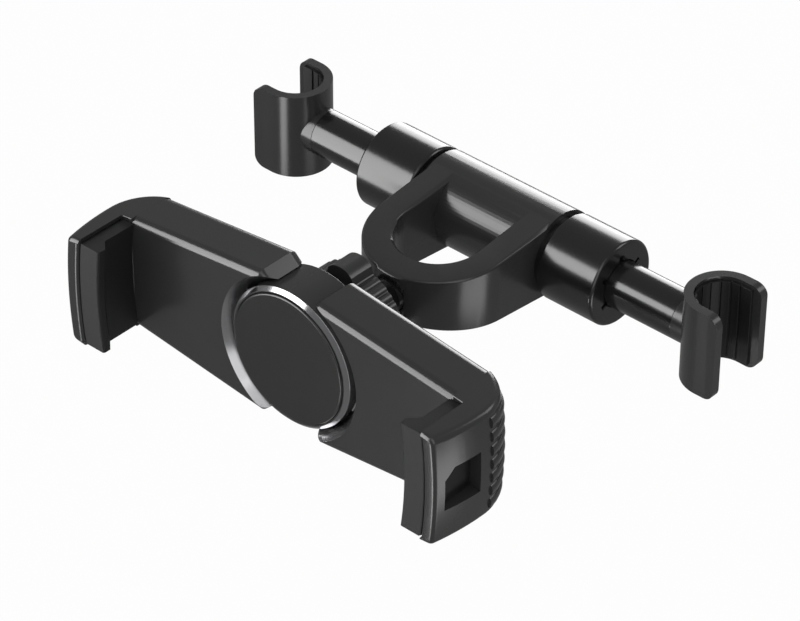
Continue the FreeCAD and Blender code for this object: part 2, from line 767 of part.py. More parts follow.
def make_hub_housing():
    """The round hub: a cup with the ball socket behind it and slots for the racks."""
    body = new_body("hub_housing")
    profile = new_sketch(body, "XY", "profile")
    socket_mouth = "(-ball_reach + socket_mouth)"
    outline(
        profile,
        ("0", f"(-ball_reach - {SOCKET_INNER})"),
        (SOCKET_INNER, "-ball_reach", SOCKET_INNER), (SOCKET_INNER, socket_mouth),
        (SOCKET_OUTER, socket_mouth), (SOCKET_OUTER, f"-{HUB_REAR}"),
        ("hub_radius - hub_chamfer", f"-{HUB_REAR}"), ("hub_radius", f"-{HUB_REAR} - hub_chamfer"),
        ("hub_radius", f"-{RING_BACK}"), (HUB_INNER, f"-{RING_BACK}"),
        (HUB_INNER, f"-{HUB_REAR} - hub_wall"),
        ("pinion_post_radius", f"-{HUB_REAR} - hub_wall"),
        ("pinion_post_radius", "-(gear_front + 0.5)"), ("0", "-(gear_front + 0.5)"),
    )
    revolve(body, profile, "V_Axis")
    slots = new_sketch(body, "YZ", "slots")
    for sign in ("", "-"):
        outline(
            slots,
            ("-gear_front - slide_clearance", f"{sign}({TOOTH_TIP} - slide_clearance)"),
            (f"-{GEAR_BACK} + slide_clearance", f"{sign}({TOOTH_TIP} - slide_clearance)"),
            (f"-{GEAR_BACK} + slide_clearance", f"{sign}({RACK_TOP} + slide_clearance)"),
            ("-gear_front - slide_clearance", f"{sign}({RACK_TOP} + slide_clearance)"),
        )
    pocket(body, slots, "2 * hub_radius + 2", both=True)
    return body


def make_front_disc():
    """The bare round front of the hub, with a skirt that snaps into the housing."""
    face = "-(face_reach + disc_proud)"
    skirt = f"({HUB_INNER} - running_clearance)"
    return turned(
        "front_disc", "Y",
        ("0", face), ("disc_radius - disc_edge", face), ("disc_radius", f"{face} + disc_edge"),
        ("disc_radius", f"-{RING_BACK}"), (skirt, f"-{RING_BACK}"), (skirt, "-(gear_front + 0.4)"),
        (f"{skirt} - 1.6", "-(gear_front + 0.4)"), (f"{skirt} - 1.6", f"{face} + 2"), ("0", f"{face} + 2"),
    )


def make_trim_ring():
    """The bright ring round the disc, with a bevelled outer edge."""
    return turned(
        "trim_ring", "Y",
        ("ring_inner_radius", f"-{RING_FRONT}"), ("hub_radius - ring_depth / 2", f"-{RING_FRONT}"),
        ("hub_radius", f"-{RING_FRONT} + ring_depth / 2"), ("hub_radius", f"-{RING_BACK}"),
        ("ring_inner_radius", f"-{RING_BACK}"),
    )


def involute(base, radius):
    """The roll angle from the base circle out to a radius."""
    pressure = math.acos(min(base / radius, 1))
    return math.tan(pressure) - pressure


def make_pinion():
    """The small gear between the two racks: involute teeth, worked out from the rack's sizes."""
    teeth = int(number("pinion_teeth"))
    module = number("gear_module")
    pitch_radius = module * teeth / 2
    base = pitch_radius * math.cos(math.radians(number("pressure_angle")))
    tip = pitch_radius + 0.8 * module
    root = pitch_radius - 1.05 * module
    flank_start = max(base, root)
    half_pitch = (math.pi * module / 2 - number("gear_backlash")) / (2 * pitch_radius)
    half_pitch += involute(base, pitch_radius)
    flank_steps = 3
    front = -number("gear_front")

    def spot(radius, angle):
        return FreeCAD.Vector(radius * math.cos(angle), front, radius * math.sin(angle))

    edges = []
    for tooth in range(teeth):
        middle = 2 * math.pi * tooth / teeth
        radii = [flank_start + (tip - flank_start) * step / flank_steps for step in range(flank_steps + 1)]
        rising = [spot(radius, middle - half_pitch + involute(base, radius)) for radius in radii]
        falling = [spot(radius, middle + half_pitch - involute(base, radius)) for radius in reversed(radii)]
        foot_in = spot(root, middle - half_pitch)
        foot_out = spot(root, middle + half_pitch)
        next_foot = spot(root, middle + 2 * math.pi / teeth - half_pitch)
        valley = spot(root, middle + math.pi / teeth)
        corners = [foot_in, *rising, *falling, foot_out]
        edges += [Part.makeLine(*pair) for pair in zip(corners, corners[1:])]
        edges.append(Part.Arc(foot_out, valley, next_foot).toShape())
    blank = Part.Face(Part.Wire(edges)).extrude(FreeCAD.Vector(0, number("gear_width"), 0))
    bore = number("pinion_post_radius + running_clearance")
    hole = Part.makeCylinder(bore, number("gear_width"), FreeCAD.Vector(0, front, 0), FreeCAD.Vector(0, 1, 0))
    pinion = doc.addObject("Part::Feature", "pinion")
    pinion.Label = "pinion"
    pinion.Shape = blank.cut(hole)
    return pinion


# Cradle halves


def slope_height(place, inset="0"):
    """Height of the cradle's sloping top edge at a distance from the hub's axis."""
    return f"(cradle_half_height - {inset} - cradle_slope * ({place}))"


def make_shell():
    """One moulded half of the cradle: a tapering box, open behind, round at the hub."""
    body = new_body("right_shell")
    shape = new_sketch(body, "XZ", "shape", CRADLE_REAR)
    foot_height = "sqrt(cradle_gap_radius ^ 2 - cradle_foot ^ 2)"
    start_height, end_height = slope_height("cradle_start"), slope_height("jaw_seam")
    outline(
        shape,
        ("cradle_foot", foot_height, "cradle_gap_radius"), ("cradle_start", start_height),
        ("jaw_seam", end_height), ("jaw_seam", f"-{end_height}"), ("cradle_start", f"-{start_height}"),
        ("cradle_foot", f"-{foot_height}"), ("cradle_gap_radius", "0", "cradle_gap_radius"),
    )
    block = pad(body, shape, "cradle_depth")
    front, rear = -number("face_reach"), -number(CRADLE_REAR)
    long_edge = number("cradle_start - cradle_foot") - 0.5
    rounded = blend_edges(
        body, block, "Fillet", "front_round",
        lambda box: near(box.YMin, front) and near(box.YMax, front) and box.XLength > long_edge and box.ZLength < 10,
        "front",
    )
    rounded = blend_edges(
        body, rounded, "Fillet", "rear_round",
        lambda box: near(box.YMin, rear) and near(box.YMax, rear) and box.XLength > long_edge and box.ZLength < 10,
        "rear",
    )
    hollow = new_sketch(body, "XZ", "hollow", CRADLE_REAR)
    near_height = f"sqrt({ARC_WALL_RADIUS} ^ 2 - hollow_start ^ 2)"
    top_near = slope_height("hollow_start", "shell_rim")
    top_far = slope_height("hollow_end", "shell_rim")
    outline(
        hollow,
        ("hollow_start", near_height, ARC_WALL_RADIUS), ("hollow_start", top_near),
        ("hollow_end", top_far), ("hollow_end", f"-{top_far}"), ("hollow_start", f"-{top_near}"),
        ("hollow_start", f"-{near_height}"), (ARC_WALL_RADIUS, "0", ARC_WALL_RADIUS),
    )
    pocket(body, hollow, "cradle_depth - shell_wall", reverse=True)
    moat = new_sketch(body, "XY", "moat")
    outline(
        moat,
        ("cradle_gap_radius - 2", "-(face_reach + 1)"), ("moat_radius", "-(face_reach + 1)"),
        ("moat_radius", "-face_reach"), ("cradle_gap_radius", "-(face_reach - moat_depth)"),
        ("cradle_gap_radius - 2", "-(face_reach - moat_depth)"),
    )
    revolve(body, moat, "V_Axis", "Groove")
    slots = new_sketch(body, "YZ", "slots")
    for sign in ("", "-"):
        outline(
            slots,
            ("-gear_front - slide_clearance", f"{sign}({TOOTH_TIP} - slide_clearance)"),
            (f"-{GEAR_BACK} + slide_clearance", f"{sign}({TOOTH_TIP} - slide_clearance)"),
            (f"-{GEAR_BACK} + slide_clearance", f"{sign}({RACK_TOP} + slide_clearance)"),
            ("-gear_front - slide_clearance", f"{sign}({RACK_TOP} + slide_clearance)"),
        )
    pocket(body, slots, "moat_radius", reverse=True)
    posts = new_sketch(body, "XZ", "posts", SHELL_FLOOR)
    for sign in ("", "-"):
        circle(posts, "cover_screw_place", f"{sign}cover_screw_height", "boss_radius")
        circle(posts, "cover_screw_place", f"{sign}cover_screw_height", HOLE_RADIUS)
    pad(body, posts, f"{SHELL_FLOOR} - {COVER_FRONT}", reverse=True)
    rest = new_sketch(body, "XZ", "rack_rest", SHELL_FLOOR)
    circle(rest, "rack_screw_place", f"-{RACK_MIDDLE}", "boss_radius")
    circle(rest, "rack_screw_place", f"-{RACK_MIDDLE}", HOLE_RADIUS)
    pad(body, rest, f"{SHELL_FLOOR} - gear_front", reverse=True)
    bore_for_jaw_screws(body)
    return body


def bore_for_jaw_screws(body):
    """The two holes that pass through the shell's end wall into the jaw."""
    holes = new_sketch(body, "YZ", "jaw_screw_holes", "hollow_end - 1")
    for sign in ("", "-"):
        circle(holes, JAW_SCREW_DEPTH, f"{sign}jaw_screw_height", HOLE_RADIUS)
    pocket(body, holes, "jaw_screw_length + 2", reverse=True)


def make_back_cover():
    """The flat plate that closes a cradle half from behind."""
    body = new_body("right_back_cover")
    plate = new_sketch(body, "XZ", "plate", CRADLE_REAR)
    inset = "(shell_rim + running_clearance)"
    start = "(hollow_start + running_clearance)"
    end = "(hollow_end - running_clearance)"
    radius = f"({ARC_WALL_RADIUS} + running_clearance)"
    near_height = f"sqrt({radius} ^ 2 - {start} ^ 2)"
    top_near, top_far = slope_height(start, inset), slope_height(end, inset)
    outline(
        plate,
        (start, near_height, radius), (start, top_near), (end, top_far),
        (end, f"-{top_far}"), (start, f"-{top_near}"), (start, f"-{near_height}"),
        (radius, "0", radius),
    )
    pad(body, plate, "shell_wall")
    for name, radius, depth in (
        ("holes", HOLE_RADIUS, "shell_wall"),
        ("seats", "screw_head_radius + running_clearance", "screw_seat"),
    ):
        holes = new_sketch(body, "XZ", name, CRADLE_REAR)
        for sign in ("", "-"):
            circle(holes, "cover_screw_place", f"{sign}cover_screw_height", radius)
        pocket(body, holes, depth, reverse=True)
    return body


def pan_screws(label, plane, spots, head_back, head_front, length):
    """Pan-head screws square to a plane; head_back is the face that is turned."""
    body = new_body(label)
    head = new_sketch(body, plane, "head", head_back)
    shank = new_sketch(body, plane, "shank", head_front)
    for across, height in spots:
        circle(head, across, height, "screw_head_radius")
        circle(shank, across, height, "screw_radius")
    pad(body, head, f"{head_front} - {head_back}")
    pad(body, shank, length)
    return body


def make_rack():
    """A toothed bar screwed into its own cradle half, which runs past the pinion."""
    body = new_body("right_rack")
    bar = new_sketch(body, "XZ", "bar", GEAR_BACK)
    outline(
        bar,
        ("-rack_tip", f"-{RACK_TOP}"), ("rack_root", f"-{RACK_TOP}"),
        ("rack_root", f"-{TOOTH_ROOT}"), ("-rack_tip", f"-{TOOTH_ROOT}"),
    )
    pad(body, bar, "gear_width")
    tooth = new_sketch(body, "XZ", "tooth", GEAR_BACK)
    first = f"(-clamp_travel - 2 * {TOOTH_PITCH} + mod(clamp_travel; {TOOTH_PITCH}))"
    half_pitch = f"({TOOTH_PITCH} / 4 - gear_backlash / 2)"
    tip_half = f"({half_pitch} - ({PITCH_RADIUS} - {TOOTH_TIP}) * tan(pressure_angle))"
    root_half = f"({half_pitch} + ({TOOTH_ROOT} - {PITCH_RADIUS}) * tan(pressure_angle))"
    outline(
        tooth,
        (f"{first} - {root_half}", f"-({TOOTH_ROOT} + 0.2)"), (f"{first} + {root_half}", f"-({TOOTH_ROOT} + 0.2)"),
        (f"{first} + {root_half}", f"-{TOOTH_ROOT}"), (f"{first} + {tip_half}", f"-{TOOTH_TIP}"),
        (f"{first} - {tip_half}", f"-{TOOTH_TIP}"), (f"{first} - {root_half}", f"-{TOOTH_ROOT}"),
    )
    cog = pad(body, tooth, "gear_width")
    count = f"(floor(clamp_travel / {TOOTH_PITCH}) + 4)"
    row = body.newObject("PartDesign::LinearPattern", "right_rack_teeth")
    row.Originals = [cog]
    axis = [part for part in body.Origin.OriginFeatures if part.Role == "X_Axis"][0]
    row.Direction = (axis, [""])
    row.setExpression("Length", bound(f"({count} - 1) * {TOOTH_PITCH}"))
    row.setExpression("Occurrences", bound(count))
    body.Tip = row
    hole = new_sketch(body, "XZ", "hole", GEAR_BACK)
    circle(hole, "rack_screw_place", f"-{RACK_MIDDLE}", HOLE_RADIUS)
    pocket(body, hole, "gear_width", reverse=True)
    return body


# Jaws and pads


def bow_axis(sketch):
    """A construction line parallel to Y, about which the jaw and pad are bowed."""
    top, bottom = FreeCAD.Vector(number(BOW_AXIS), 0, 0), FreeCAD.Vector(number(BOW_AXIS), 50, 0)
    line = sketch.addGeometry(Part.LineSegment(top, bottom), True)
    pin_point(sketch, line, 1, BOW_AXIS, "0")
    pin_point(sketch, line, 2, BOW_AXIS, "50")
    return "Axis0"


def keep_inside(body, plane, reach, *points):
    """Cut away all of a body that lies outside an outline seen along a plane's normal."""
    sketch = new_sketch(body, plane, f"limit_{plane}")
    outline(sketch, (f"-{reach}", f"-{reach}"), (reach, f"-{reach}"), (reach, reach), (f"-{reach}", reach))
    outline(sketch, *points)
    return pocket(body, sketch, "300", both=True)


def make_jaw():
    """The cradle's end: a bowed wall that turns forward round a full corner."""
    body = new_body("right_jaw")
    section = new_sketch(body, "XY", "section")
    rear, side = f"-{CRADLE_REAR}", f"(-{CRADLE_REAR} - jaw_corner)"
    front = "-(face_reach + jaw_front)"
    outline(
        section,
        ("jaw_seam - 4", rear), ("jaw_seam - 4", "-face_reach"),
        ("pad_back", "-face_reach"), ("pad_back", front), ("jaw_tip", front),
        ("jaw_outer", side, "jaw_curve_radius"), ("jaw_outer - jaw_corner", rear, "jaw_corner"),
    )
    axis = bow_axis(section)
    revolve(body, section, axis, angle="24")
    top_near, top_far = slope_height("jaw_seam"), slope_height("jaw_outer + 2")
    keep_inside(
        body, "XZ", "150",
        ("jaw_seam", f"-{top_near}"), ("jaw_outer + 2", f"-{top_far}"),
        ("jaw_outer + 2", top_far), ("jaw_seam", top_near),
    )
    bore_for_jaw_screws(body)
    cut = body.Tip
    low, curb, front_end = number("pad_half_height") - 3, number("pad_back") + 1, number(front)
    outer_end = number("jaw_tip") - 1.5
    sides = blend_edges(
        body, cut, "Fillet", "jaw_round",
        lambda box: box.XMax > outer_end and box.YLength > 5 and min(abs(box.ZMin), abs(box.ZMax)) > low,
        "sides",
    )
    rims = blend_edges(
        body, sides, "Fillet", "jaw_rim_round",
        lambda box: near(box.YMin, front_end) and near(box.YMax, front_end) and box.XMax > curb,
        "rim",
    )
    step_end = -number("face_reach")
    blend_edges(
        body, rims, "Fillet", "jaw_step_round",
        lambda box: near(box.YMin, step_end) and near(box.YMax, step_end) and min(abs(box.ZMin), abs(box.ZMax)) > low,
        "step",
    )
    window = new_sketch(body, "YZ", "window", "jaw_outer + 5")
    outline(
        window,
        ("-(face_reach + window_front)", "-window_height / 2"), ("-(face_reach + window_back)", "-window_height / 2"),
        ("-(face_reach + window_back)", "window_height / 2"),
        ("-(face_reach + window_front - 2 * window_round)", "window_height / 2"),
        ("-(face_reach + window_front)", "window_height / 2 - 2 * window_round"),
    )
    pocket(body, window, "jaw_outer + 5 - pad_back + 1")
    grip = new_sketch(body, "XY", "grip")
    centre_x, centre_y = "(jaw_outer - jaw_corner)", f"({side})"
    outer = "(jaw_corner + grip_proud)"
    inner = "(jaw_corner - 1)"
    outline(
        grip,
        (f"{centre_x} + {inner} * cos(12)", f"{centre_y} + {inner} * sin(12)", f"-{inner}"),
        (f"{centre_x} + {outer} * cos(16)", f"{centre_y} + {outer} * sin(16)"),
        (f"{centre_x} + {outer} * cos(65)", f"{centre_y} + {outer} * sin(65)", outer),
        (f"{centre_x} + {inner} * cos(69)", f"{centre_y} + {inner} * sin(69)"),
    )
    bow_axis(grip)
    step = "(grip_pitch / jaw_bow_radius * 180 / pi)"
    ridge = revolve(body, grip, "Axis0", angle="(grip_width / jaw_bow_radius * 180 / pi)")
    for reverse in (False, True):
        pattern = body.newObject("PartDesign::PolarPattern", f"right_jaw_grip_{int(reverse)}")
        pattern.Originals = [ridge]
        pattern.Axis = (grip, ["Axis0"])
        pattern.setExpression("Angle", bound(f"(grip_count - 1) / 2 * {step}"))
        pattern.Mode = "Extent"
        pattern.setExpression("Occurrences", bound("(grip_count + 1) / 2"))
        pattern.Reversed = reverse
        body.Tip = pattern
    return body


def make_pad():
    """The soft L-shaped lining of the jaw, with a tab that shows in the jaw's window."""
    body = new_body("right_pad")
    section = new_sketch(body, "XY", "section")
    back = "(pad_back - pad_clearance)"
    rear = "-(face_reach + pad_clearance)"
    outline(
        section,
        (back, rear), (back, "-(face_reach + pad_front)"),
        ("pad_lip + 0.6", "-(face_reach + pad_front)"),
        ("pad_lip", "-(face_reach + pad_front - 0.6)", "-0.7"),
        ("pad_lip", "-(face_reach + pad_lip_back)"), ("pad_face", "-(face_reach + pad_slope_back)"),
        ("pad_face", rear),
    )
    axis = bow_axis(section)
    revolve(body, section, axis, angle="24")
    keep_inside(
        body, "XZ", "150",
        ("jaw_seam - 20", "-pad_half_height"), ("jaw_outer", "-pad_half_height"),
        ("jaw_outer", "pad_half_height"), ("jaw_seam - 20", "pad_half_height"),
    )
    tab = new_sketch(body, "YZ", "tab", "pad_back - 1.5")
    slack = "pad_clearance"
    outline(
        tab,
        (f"-(face_reach + window_front - {slack})", f"-(window_height / 2 - {slack})"),
        (f"-(face_reach + window_back + {slack})", f"-(window_height / 2 - {slack})"),
        (f"-(face_reach + window_back + {slack})", f"(window_height / 2 - {slack})"),
        (f"-(face_reach + window_front - 2 * window_round - {slack})", f"(window_height / 2 - {slack})"),
        (f"-(face_reach + window_front - {slack})", f"(window_height / 2 - 2 * window_round - {slack})"),
    )
    pad(body, tab, "1.5 + pad_tab_depth")
    return body


def build():
    """Make every sub-part: the right-hand ones first, then their mirror images."""
    fill_sheet()
    right = [
        make_collar(), make_guide_bush(), make_rod(), make_rod_stop(), make_rod_spring(),
        make_hook(), make_hook_screw(), make_hook_liner(),
        make_shell(), make_back_cover(), make_jaw(), make_pad(),
        pan_screws(
            "right_cover_screws", "XZ",
            [("cover_screw_place", "cover_screw_height"), ("cover_screw_place", "-cover_screw_height")],
            CRADLE_REAR, f"({CRADLE_REAR} + screw_seat)", "cover_screw_length",
        ),
        pan_screws(
            "right_jaw_screws", "YZ", [(JAW_SCREW_DEPTH, "jaw_screw_height"), (JAW_SCREW_DEPTH, "-jaw_screw_height")],
            "(hollow_end - screw_head_height)", "hollow_end", "jaw_screw_length",
        ),
    ]
    rack = make_rack()
    rack_screw = pan_screws(
        "right_rack_screw", "XZ", [("rack_screw_place", f"-{RACK_MIDDLE}")],
        f"({GEAR_BACK} - 1.4)", GEAR_BACK, "gear_width + rack_screw_grip",
    )
    middle = [
        make_centre_tube(), make_centre_stop(), make_yoke(), make_ball_stud(), make_stud_screw(),
        make_cup("ball_liner", LINER_CUP_INNER, LINER_CUP_OUTER),
        make_cup("socket_liner", SEAT_CUP_INNER, SEAT_CUP_OUTER),
        make_lock_nut(), make_hub_housing(), make_front_disc(), make_trim_ring(), make_pinion(),
    ]
    left = [mirror_of(part.Label.replace("right", "left"), part, "X") for part in right]
    left += [mirror_of(part.Label.replace("right", "left"), part, "Z", "X") for part in (rack, rack_screw)]
    doc.recompute()
    return middle + right + [rack, rack_screw] + left


def write_parts(parts):
    """Check every object, then write each sub-part to a file of its own name."""
    for item in doc.Objects:
        if "Invalid" in item.State or "Error" in item.State:
            raise ValueError(f"{item.Name} failed: {item.State}")
    for part in parts:
        if part.Shape.isNull() or not part.Shape.isValid() or not part.Shape.Solids:
            raise ValueError(f"{part.Label} has no valid shape")
    os.makedirs("parts", exist_ok=True)
    for part in parts:
        part.Shape.exportStep(f"parts/{part.Label}.step")
        solids = len(part.Shape.Solids)
        print(f"{part.Label}: {solids} solid(s), {part.Shape.Volume:.0f} mm3")


write_parts(build())
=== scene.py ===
# %% [markdown]
# # A tablet mount for a car headrest
# The solids of this mount come ready made, as a fixed frame in metres. This lesson dresses them:
# a camera, a plain studio, finishes for each piece, and finer copies of the pieces whose small
# shapes catch the light. We start by loading the frame and keeping the box that it fills.

# %% Load the frame
import json
import math

import bmesh
import bpy
from mathutils import Matrix, Vector


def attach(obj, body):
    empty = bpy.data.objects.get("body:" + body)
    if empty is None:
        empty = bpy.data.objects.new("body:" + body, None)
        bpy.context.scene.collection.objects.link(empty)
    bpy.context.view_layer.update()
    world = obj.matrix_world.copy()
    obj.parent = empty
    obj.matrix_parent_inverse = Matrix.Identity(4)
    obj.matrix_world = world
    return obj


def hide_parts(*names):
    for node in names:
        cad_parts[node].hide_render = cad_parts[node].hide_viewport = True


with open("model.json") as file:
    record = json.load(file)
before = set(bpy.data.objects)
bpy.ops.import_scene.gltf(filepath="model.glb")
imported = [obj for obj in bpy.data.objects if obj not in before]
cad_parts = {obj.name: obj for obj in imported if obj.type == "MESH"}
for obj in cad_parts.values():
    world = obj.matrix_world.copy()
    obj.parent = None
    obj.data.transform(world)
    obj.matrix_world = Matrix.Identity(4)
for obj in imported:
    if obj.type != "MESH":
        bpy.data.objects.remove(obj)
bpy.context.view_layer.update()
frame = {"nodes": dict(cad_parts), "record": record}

MM = 0.001
nodes = frame["nodes"]

# %% [markdown]
# ## The camera
# The photograph was taken from above and to the right with a long lens, so the two ends of the
# bar are almost the same size. A camera can be aimed with angles or with a target to look at. Here
# its three axes are written out, because they were worked out from the bar itself.

# %% Place the camera
CAMERA_PLACE = (0.53037, -0.62752, 0.57609)
CAMERA_LENS = 173.12
CAMERA_TURN = (42.025, 36.375, 0.197)  # azimuth, elevation and roll in degrees
SENSOR_WIDTH = 36
NEAREST_SEEN, FARTHEST_SEEN = 0.01, 20


def camera_axes(azimuth, elevation, roll):
    """Right, up and back directions of a camera that looks at the object."""
    azimuth, elevation, roll = (math.radians(angle) for angle in (azimuth, elevation, roll))
    back = Vector((
        math.sin(azimuth) * math.cos(elevation),
        -math.cos(azimuth) * math.cos(elevation),
        math.sin(elevation),
    ))
    level = Vector((math.cos(azimuth), math.sin(azimuth), 0))
    upright = back.cross(level)
    right = level * math.cos(roll) + upright * math.sin(roll)
    up = upright * math.cos(roll) - level * math.sin(roll)
    return right, up, back


camera = bpy.data.objects.new("camera", bpy.data.cameras.new("camera"))
bpy.context.scene.collection.objects.link(camera)
axes = Matrix(camera_axes(*CAMERA_TURN)).transposed()
camera.matrix_world = Matrix.Translation(CAMERA_PLACE) @ axes.to_4x4()
camera.data.lens = CAMERA_LENS
camera.data.sensor_width = SENSOR_WIDTH
camera.data.clip_start, camera.data.clip_end = NEAREST_SEEN, FARTHEST_SEEN
bpy.context.scene.camera = camera
print("camera is", round(camera.location.length, 3), "m from the middle of the bar")

# %% [markdown]
# ## The studio
# A black object on white is drawn by what it reflects. One plain key lamp and the room light the
# colours evenly. The pale streaks on the round pieces come from cards, which are lamps that only
# show in reflections. One stands behind, low, and fades the tops of the sleeves to white. One
# stands in front on the left and draws the band along their lower halves. Two weaker ones on the
# right shade the walls and rims that face that way, and two small ones low down pick out the
# upright walls. Between them the room is dim in reflections, which keeps the plastic black, though
# the camera sees it white. The floor is plain and pale, and lies well below, because the mount
# hangs between two posts.

# %% Build the studio
FLOOR_DROP, FLOOR_SIZE = 0.22, 30
FLOOR_GREY, FLOOR_ROUGHNESS, FLOOR_GLOSS = 0.86, 0.9, 0.1
FLOOR_WHITE = 0.95  # how much of the floor's white the camera sees; the rest is lit, with shadow
ROOM = 0.75  # how bright the room is as light
MIRRORED = 0.28  # how bright the room and the floor are in reflections


def new_material(name):
    """An empty material with a Principled shader wired to its output."""
    material = bpy.data.materials.new(name)
    material.use_nodes = True
    tree = material.node_tree
    return material, tree, tree.nodes["Principled BSDF"]


def add_node(tree, kind, values=None, **settings):
    """A new node with some of its inputs set by name, and some of its own settings."""
    node = tree.nodes.new(kind)
    for name, value in settings.items():
        setattr(node, name, value)
    for name, value in (values or {}).items():
        node.inputs[name].default_value = value
    return node


def make_floor():
    """A pale floor: nearly white where the camera sees it, and dim in reflections as the room is.

    Seen from below it is clear, so that it never hides the object.
    """
    mesh = bpy.data.meshes.new("studio_floor")
    half = FLOOR_SIZE / 2
    corners = [(-half, -half), (half, -half), (half, half), (-half, half)]
    mesh.from_pydata([(x, y, -FLOOR_DROP) for x, y in corners], [], [(0, 1, 2, 3)])
    floor = bpy.data.objects.new("studio_floor", mesh)
    bpy.context.scene.collection.objects.link(floor)
    material, tree, matt = new_material("pale_floor")
    matt.inputs["Base Color"].default_value = (FLOOR_GREY, FLOOR_GREY, FLOOR_GREY, 1)
    matt.inputs["Roughness"].default_value = FLOOR_ROUGHNESS
    matt.inputs["Specular IOR Level"].default_value = FLOOR_GLOSS
    path = add_node(tree, "ShaderNodeLightPath")
    side = add_node(tree, "ShaderNodeNewGeometry")
    white = add_node(tree, "ShaderNodeEmission")
    dim = add_node(tree, "ShaderNodeEmission", {"Strength": MIRRORED})
    clear = add_node(tree, "ShaderNodeBsdfTransparent")
    share = add_node(tree, "ShaderNodeMath", {1: FLOOR_WHITE}, operation="MULTIPLY")
    tree.links.new(path.outputs["Is Camera Ray"], share.inputs[0])

    def mix(factor, first, second):
        """The first shader, or the second as far as the factor says."""
        node = add_node(tree, "ShaderNodeMixShader")
        for socket, source in zip(node.inputs, (factor, first, second)):
            tree.links.new(source, socket)
        return node.outputs[0]

    lit = mix(path.outputs["Is Glossy Ray"], matt.outputs[0], dim.outputs[0])
    above = mix(share.outputs[0], lit, white.outputs[0])
    surface = mix(side.outputs["Backfacing"], above, clear.outputs[0])
    tree.links.new(surface, tree.nodes["Material Output"].inputs["Surface"])
    mesh.materials.append(material)


def make_room():
    """The world: white where the camera sees it, darker as light, and dim in reflections."""
    world = bpy.data.worlds.new("white_room")
    bpy.context.scene.world = world
    world.use_nodes = True
    tree = world.node_tree
    background = tree.nodes["Background"]
    background.inputs["Color"].default_value = (1, 1, 1, 1)
    path = add_node(tree, "ShaderNodeLightPath")
    clear = add_node(tree, "ShaderNodeMath", operation="MAXIMUM")
    # a Mix node of numbers takes its factor at input 0 and its two numbers at inputs 2 and 3
    lit = add_node(tree, "ShaderNodeMix", {2: ROOM, 3: MIRRORED})
    seen = add_node(tree, "ShaderNodeMix", {3: 1})
    tree.links.new(path.outputs["Is Camera Ray"], clear.inputs[0])
    tree.links.new(path.outputs["Is Transmission Ray"], clear.inputs[1])
    tree.links.new(path.outputs["Is Glossy Ray"], lit.inputs[0])
    tree.links.new(lit.outputs[0], seen.inputs[2])
    tree.links.new(clear.outputs[0], seen.inputs[0])
    tree.links.new(seen.outputs[0], background.inputs["Strength"])


def make_lamp(name, place, target, size, radiance, mirrored_only=True):
    """A soft oblong lamp that faces a point; radiance is how bright its face is."""
    data = bpy.data.lights.new(name, "AREA")
    data.shape = "RECTANGLE"
    data.size, data.size_y = size
    data.energy = radiance * math.pi * size[0] * size[1]
    lamp = bpy.data.objects.new(name, data)
    bpy.context.scene.collection.objects.link(lamp)
    lamp.location = place
    aim = Vector(place) - Vector(target)
    lamp.rotation_euler = aim.to_track_quat("Z", "Y").to_euler()
    lamp.visible_camera = False
    lamp.visible_diffuse = not mirrored_only


# name: place, point that it faces, size, radiance
CARDS = {
    "card_behind": ((-0.42, 0.79, 0.16), (0, 0, 0.16), (0.46, 0.62), 5.5),
    "card_front_left": ((-0.335, -0.5, 0.14), (0, 0, 0.14), (0.45, 0.66), 7),
    "card_right": ((0.5, -0.33, 0.2), (0, 0, 0.06), (0.35, 0.5), 1.3),
    "card_right_behind": ((0.45, 0.48, 0.42), (0, 0, 0), (0.3, 0.3), 2.5),
    "card_low_front": ((-0.04, -0.33, -0.19), (0, -0.04, 0), (0.12, 0.07), 7),
    "card_low_right": ((0.3, -0.04, -0.19), (0, -0.03, 0), (0.2, 0.1), 3),
}
make_floor()
make_room()
make_lamp("key", (0.5, -0.7, 1.0), (0, 0, 0), (0.9, 0.9), 0.9, mirrored_only=False)
for name, values in CARDS.items():
    make_lamp(name, *values)
bpy.context.scene.view_settings.view_transform = "Standard"

# %% [markdown]
# ## Finishes
# Moulded plastic is never quite even: it has a fine grain from the tool, and faint clouds in its
# shade and gloss. Every finish uses one group of nodes for that, with its own values.

# %% Make the shared grain
GRAIN_DETAIL, CLOUD_DETAIL, NOISE_ROUGHNESS = 2.0, 3.0, 0.55
CLOUD_SIZE, CLOUD_SHARE = 18.0, 0.15


def new_group(name, inputs, outputs):
    """A shader node group with named inputs and outputs."""
    group = bpy.data.node_groups.new(name, "ShaderNodeTree")
    for label, kind, value in inputs:
        socket = group.interface.new_socket(label, in_out="INPUT", socket_type=kind)
        socket.default_value = value
    for label, kind in outputs:
        group.interface.new_socket(label, in_out="OUTPUT", socket_type=kind)
    return group, group.nodes.new("NodeGroupInput"), group.nodes.new("NodeGroupOutput")


